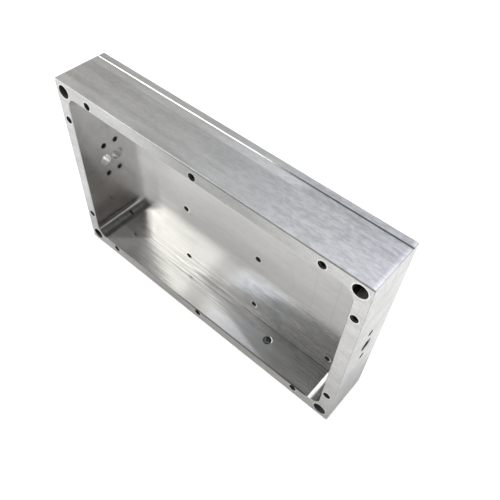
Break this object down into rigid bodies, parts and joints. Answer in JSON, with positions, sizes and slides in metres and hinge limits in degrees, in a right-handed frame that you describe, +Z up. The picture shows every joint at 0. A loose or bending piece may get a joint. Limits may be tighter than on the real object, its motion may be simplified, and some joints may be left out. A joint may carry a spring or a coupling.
{
  "type": "amplifier enclosure",
  "caption": "Shallow open box milled from solid aluminium, with a rounded pocket, a rim for a cover, corner through holes and connector bores in its short walls.",
  "frame": {"origin": "middle of the lowest face, on the surface that the box stands on", "axes": "+X along the length, +Y from the open rim to the back, +Z up, with the box standing on its lower long wall"},
  "size_m": [0.11, 0.0184, 0.0695],
  "materials": {
    "aluminium": "milled, satin, with fine tool marks along the length"
  },
  "bodies": {
    "root": {"enclosure": "aluminium"}
  },
  "joints": []
}
